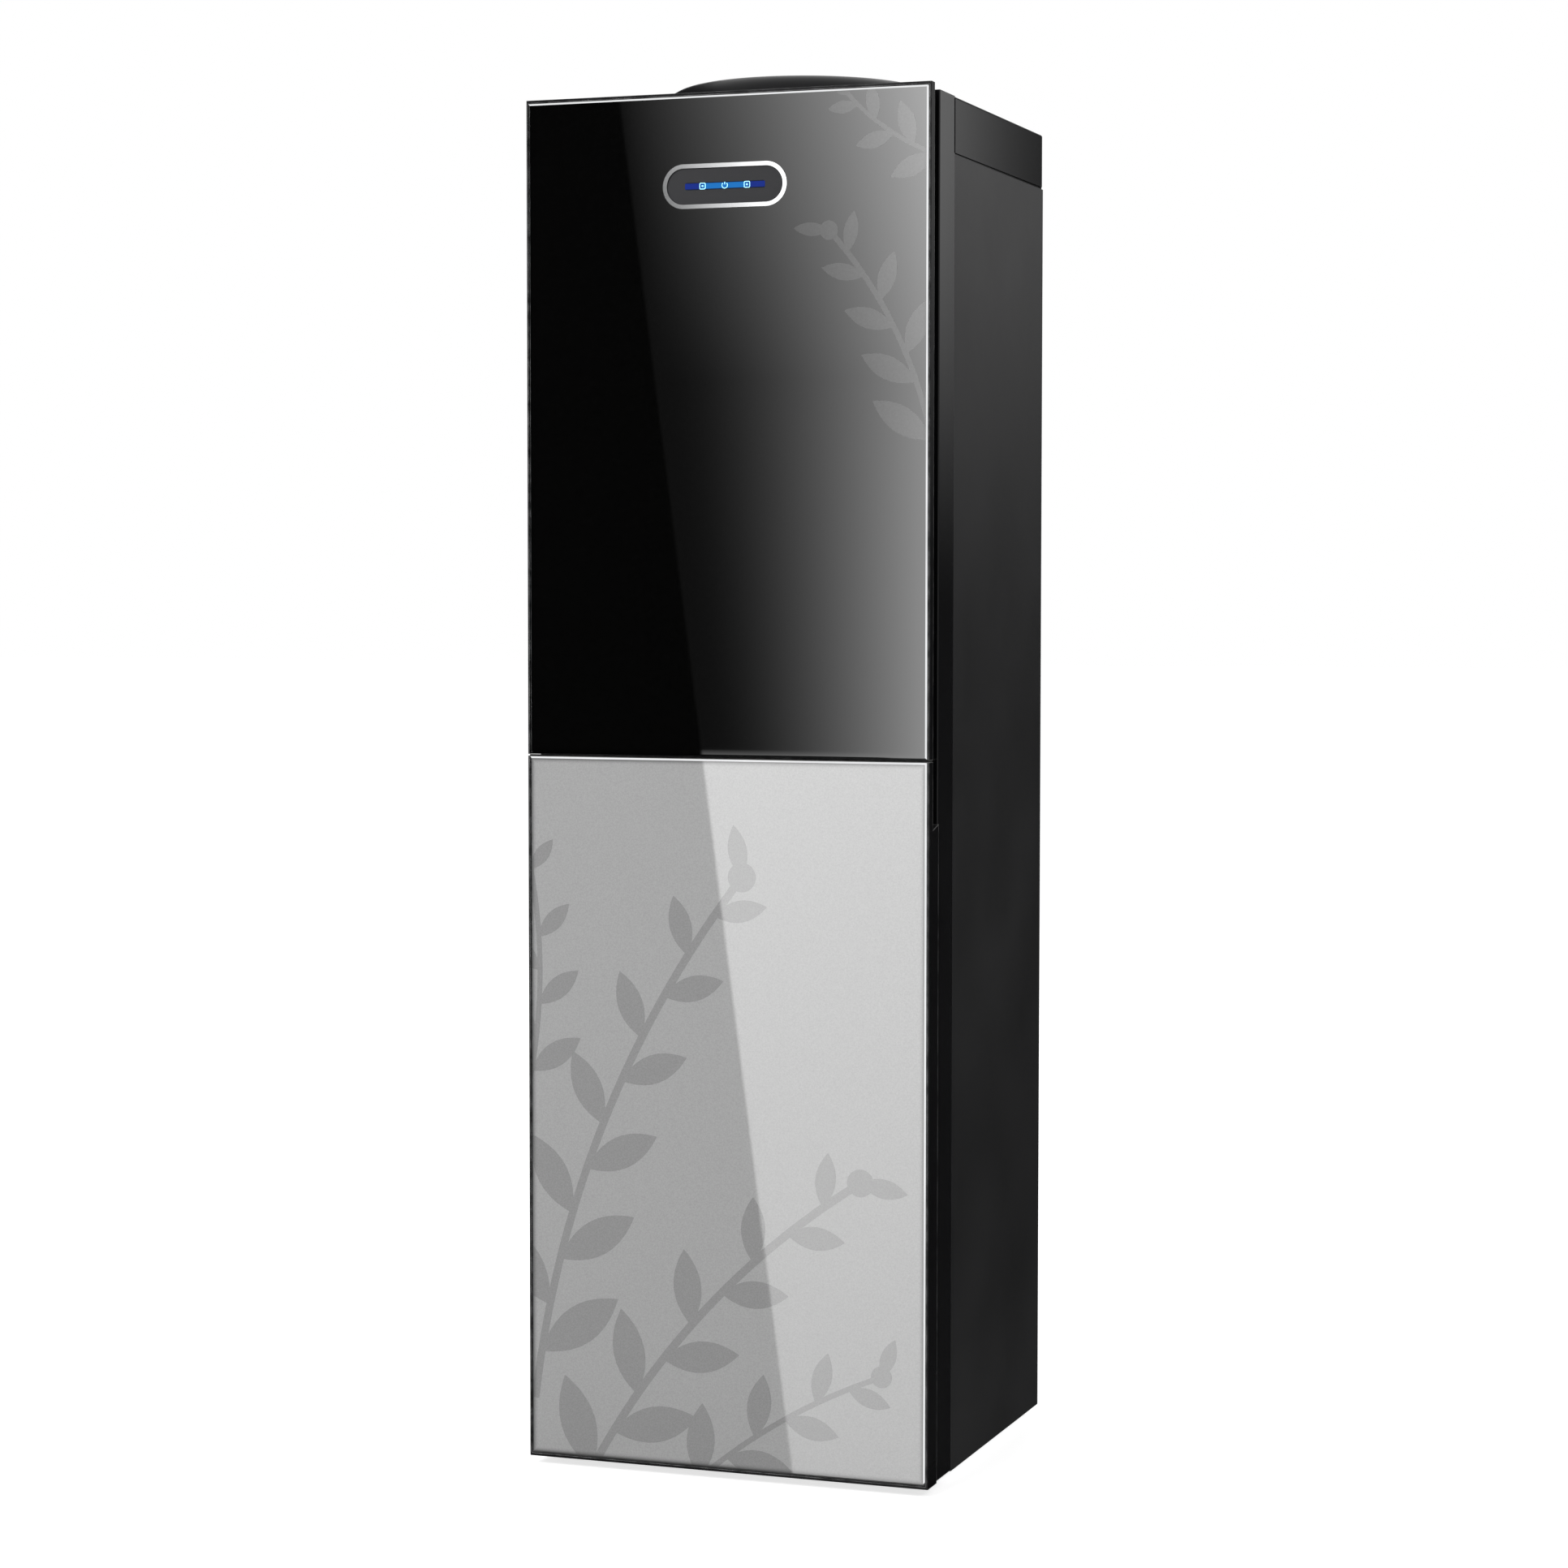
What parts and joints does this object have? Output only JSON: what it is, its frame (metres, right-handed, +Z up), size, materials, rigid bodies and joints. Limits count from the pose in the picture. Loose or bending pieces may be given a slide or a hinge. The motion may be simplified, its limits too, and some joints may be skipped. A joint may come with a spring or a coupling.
{
  "type": "water dispenser",
  "caption": "Floor-standing bottled-water dispenser: glass upper door over a tap niche, glass lower door over a storage cabinet, bottle collar on top.",
  "frame": {"origin": "on the floor, under the middle of the bounding box", "axes": "+Z up, front with the doors towards -Y, +X towards the side that the doors open from"},
  "size_m": [0.31, 0.295, 1.0275],
  "materials": {
    "frame_black": "gloss",
    "body_black": "satin",
    "black_glass": "gloss",
    "silver_glass": "gloss",
    "dark_steel": "satin",
    "zinc_steel": "satin",
    "stainless": "satin",
    "copper": "satin",
    "silver_trim": "polished",
    "niche_grey": "satin",
    "liner_white": "satin",
    "cover_grey": "satin",
    "hot_red": "gloss",
    "cold_blue": "gloss",
    "tap_white": "gloss",
    "plate_grey": "satin",
    "blue_light": "gloss",
    "rubber_black": "matte",
    "silicone": "satin",
    "foam_white": "matte",
    "board_green": "satin",
    "compressor_black": "satin",
    "magnet_grey": "matte",
    "rocker_green": "gloss"
  },
  "bodies": {
    "cabinet": {"base_plate": "zinc_steel", "feet": "rubber_black", "left_side_panel": "dark_steel", "right_side_panel": "dark_steel", "back_panel": "dark_steel", "casing_screws": "zinc_steel", "machine_deck": "zinc_steel", "tank_shelf": "zinc_steel", "front_frame": "body_black", "door_magnets": "magnet_grey", "top_cover": "body_black", "bottle_collar": "body_black", "tank_gasket": "silicone", "top_hinge_arm": "zinc_steel", "middle_hinge_arm": "zinc_steel", "bottom_hinge_arm": "zinc_steel", "hinge_pins": "zinc_steel", "tap_niche": "niche_grey", "hot_tap_body": "tap_white", "cold_tap_body": "tap_white", "lever_pins": "zinc_steel", "cabinet_liner": "liner_white", "wire_rack": "silver_trim", "cold_tank": "stainless", "cold_tank_insulation": "foam_white", "evaporator_coil": "copper", "hot_tank": "stainless", "hot_tank_bracket": "zinc_steel", "water_hoses": "silicone", "drain_spout": "liner_white", "compressor": "compressor_black", "compressor_mounts": "rubber_black", "relay_box": "body_black", "condenser": "dark_steel", "refrigerant_lines": "copper", "switch_bodies": "body_black", "control_board": "board_green", "cord_gland": "body_black"},
    "upper_door": {"upper_door_frame": "frame_black", "upper_glass": "black_glass", "upper_door_cover": "cover_grey", "upper_door_strike": "zinc_steel", "indicator_ring": "silver_trim", "indicator_plate": "plate_grey", "indicator_light_bar": "blue_light", "indicator_board": "board_green"},
    "lower_door": {"lower_door_frame": "frame_black", "lower_glass": "silver_glass", "lower_door_cover": "cover_grey", "lower_door_strike": "zinc_steel", "lower_door_seal": "rubber_black"},
    "hot_lever": {"hot_tap_lever": "hot_red"},
    "hot_lock": {"hot_lock_button": "tap_white"},
    "cold_lever": {"cold_tap_lever": "cold_blue"},
    "tray": {"drip_tray": "niche_grey"},
    "grille": {"drip_grille": "cover_grey"},
    "spike": {"bottle_spike": "liner_white"},
    "drain_cap": {"drain_cap": "body_black"},
    "hot_switch": {"hot_switch_rocker": "hot_red"},
    "cold_switch": {"cold_switch_rocker": "rocker_green"}
  },
  "joints": [
    {"name": "upper_door_hinge", "type": "hinge", "parent": "cabinet", "child": "upper_door", "pos_m": [-0.145, -0.135, 0.768], "axis": [0, 0, -1], "range_deg": [0, 100]},
    {"name": "lower_door_hinge", "type": "hinge", "parent": "cabinet", "child": "lower_door", "pos_m": [-0.145, -0.135, 0.267], "axis": [0, 0, -1], "range_deg": [0, 100]},
    {"name": "hot_lever_pivot", "type": "hinge", "parent": "cabinet", "child": "hot_lever", "pos_m": [-0.045, -0.048, 0.796], "axis": [1, 0, 0], "range_deg": [0, 20], "stiffness_Nm_per_rad": 0.3},
    {"name": "hot_lock_slide", "type": "slide", "parent": "hot_lever", "child": "hot_lock", "axis": [0, -1, 0], "range_m": [0, 0.005]},
    {"name": "cold_lever_pivot", "type": "hinge", "parent": "cabinet", "child": "cold_lever", "pos_m": [0.045, -0.048, 0.796], "axis": [1, 0, 0], "range_deg": [0, 20], "stiffness_Nm_per_rad": 0.3},
    {"name": "tray_lift", "type": "slide", "parent": "cabinet", "child": "tray", "axis": [0, 0, 1], "range_m": [0, 0.06]},
    {"name": "grille_lift", "type": "slide", "parent": "tray", "child": "grille", "axis": [0, 0, 1], "range_m": [0, 0.04]},
    {"name": "spike_lift", "type": "slide", "parent": "cabinet", "child": "spike", "axis": [0, 0, 1], "range_m": [0, 0.07]},
    {"name": "drain_cap_turn", "type": "hinge", "parent": "cabinet", "child": "drain_cap", "pos_m": [-0.118, 0.13, 0.545], "axis": [0, 1, 0], "continuous": true},
    {"name": "hot_switch_rock", "type": "hinge", "parent": "cabinet", "child": "hot_switch", "pos_m": [-0.118, 0.1195, 0.88], "axis": [1, 0, 0], "range_deg": [0, 18]},
    {"name": "cold_switch_rock", "type": "hinge", "parent": "cabinet", "child": "cold_switch", "pos_m": [-0.074, 0.1195, 0.88], "axis": [1, 0, 0], "range_deg": [0, 18]}
  ]
}
